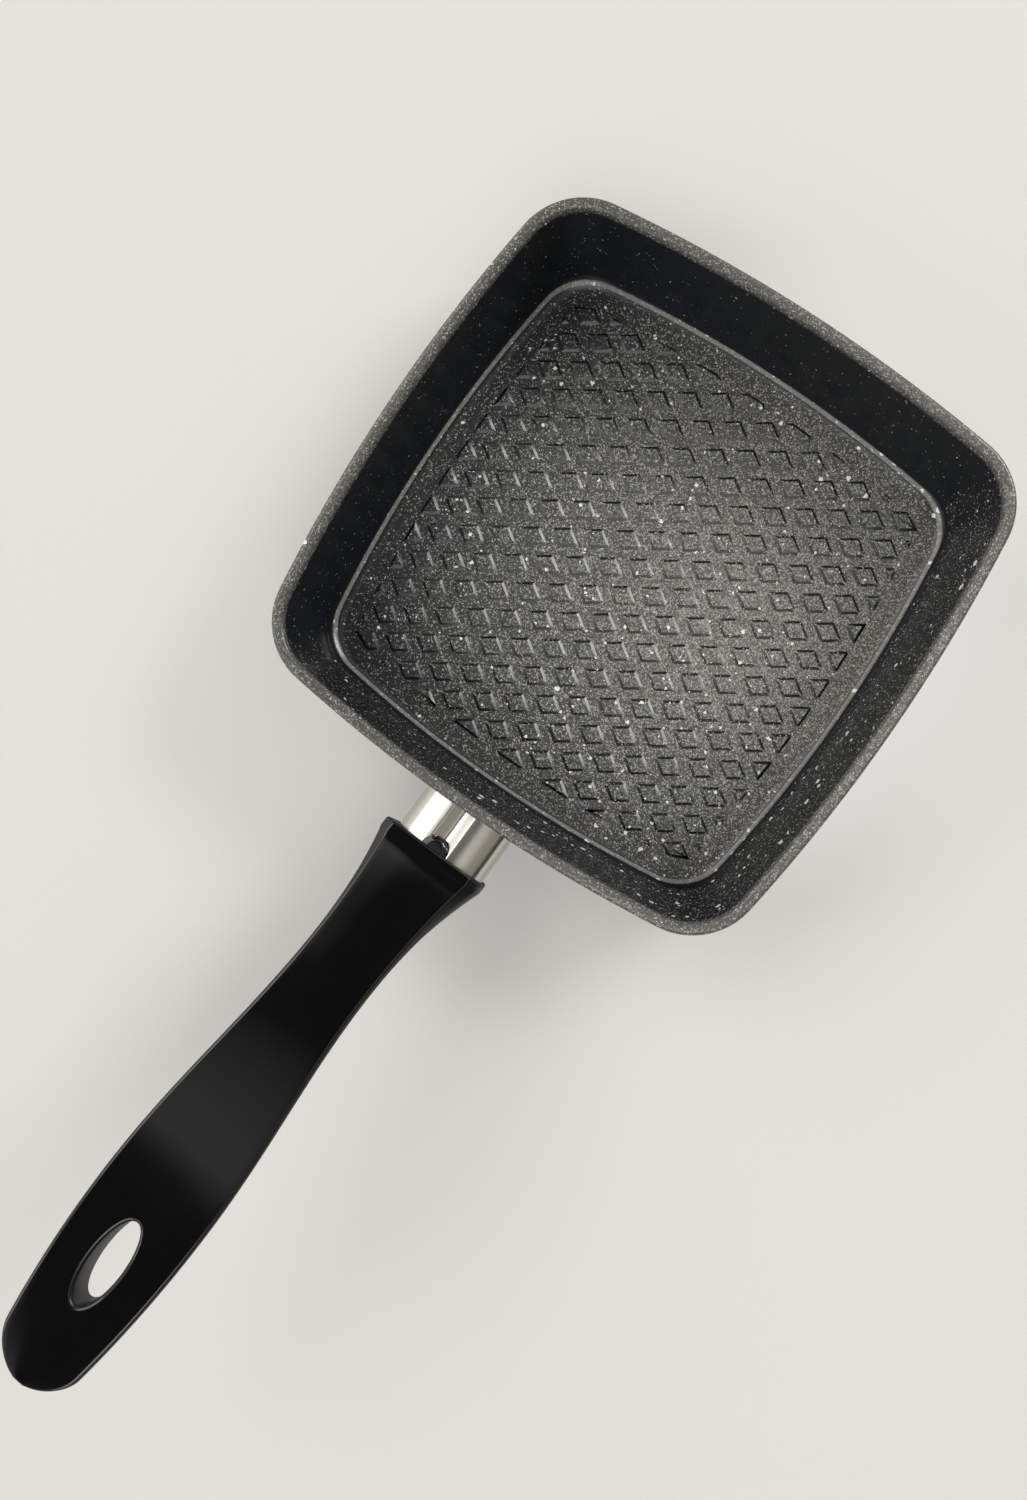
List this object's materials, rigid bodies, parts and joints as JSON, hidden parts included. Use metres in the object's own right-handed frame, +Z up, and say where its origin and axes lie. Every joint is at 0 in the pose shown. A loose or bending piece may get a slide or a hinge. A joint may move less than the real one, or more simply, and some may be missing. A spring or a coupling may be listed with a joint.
{
  "type": "butter pan",
  "caption": "Small square butter pan with bowed sides, a floor of raised lozenges, a speckled coating and a black moulded handle on a metal flame guard.",
  "frame": {"origin": "middle of the flat base, on the surface that the pan stands on", "axes": "+Z up; the handle runs along -Y; X across the pan"},
  "size_m": [0.16, 0.3273, 0.0723],
  "materials": {
    "speckled_coating": "satin speckled non-stick coating on cast aluminium",
    "welded_aluminium": "turned, welded at its foot",
    "polished_sheet": "polished sheet",
    "black_phenolic": "moulded, satin gloss",
    "zinc_plate": "zinc plated steel"
  },
  "bodies": {
    "root": {"pan_body": "speckled_coating", "handle_boss": "welded_aluminium", "flame_guard": "polished_sheet", "handle": "black_phenolic", "flat_washer": "zinc_plate", "spring_washer": "zinc_plate", "handle_screw": "zinc_plate"}
  },
  "joints": []
}
